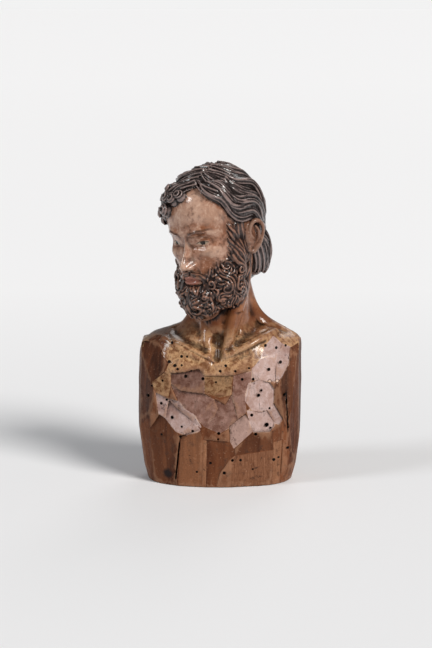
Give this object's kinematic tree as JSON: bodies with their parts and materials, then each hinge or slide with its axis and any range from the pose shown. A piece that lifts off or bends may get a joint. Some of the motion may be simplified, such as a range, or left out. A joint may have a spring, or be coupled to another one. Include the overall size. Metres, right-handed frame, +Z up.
{
  "type": "nativity figure bust",
  "caption": "Carved wooden bust of a bearded man with the head turned and bowed, on a chest sawn off at the arms and cut flat below.",
  "frame": {"origin": "middle of the flat underside, where it meets what it stands on", "axes": "+Z up, the chest faces -Y, +X is the figure's left shoulder"},
  "size_m": [0.1222, 0.0826, 0.2361],
  "materials": {
    "carved_wood": "worn paint and dark varnish over bare carved wood"
  },
  "bodies": {
    "root": {"bust": "carved_wood"}
  },
  "joints": []
}
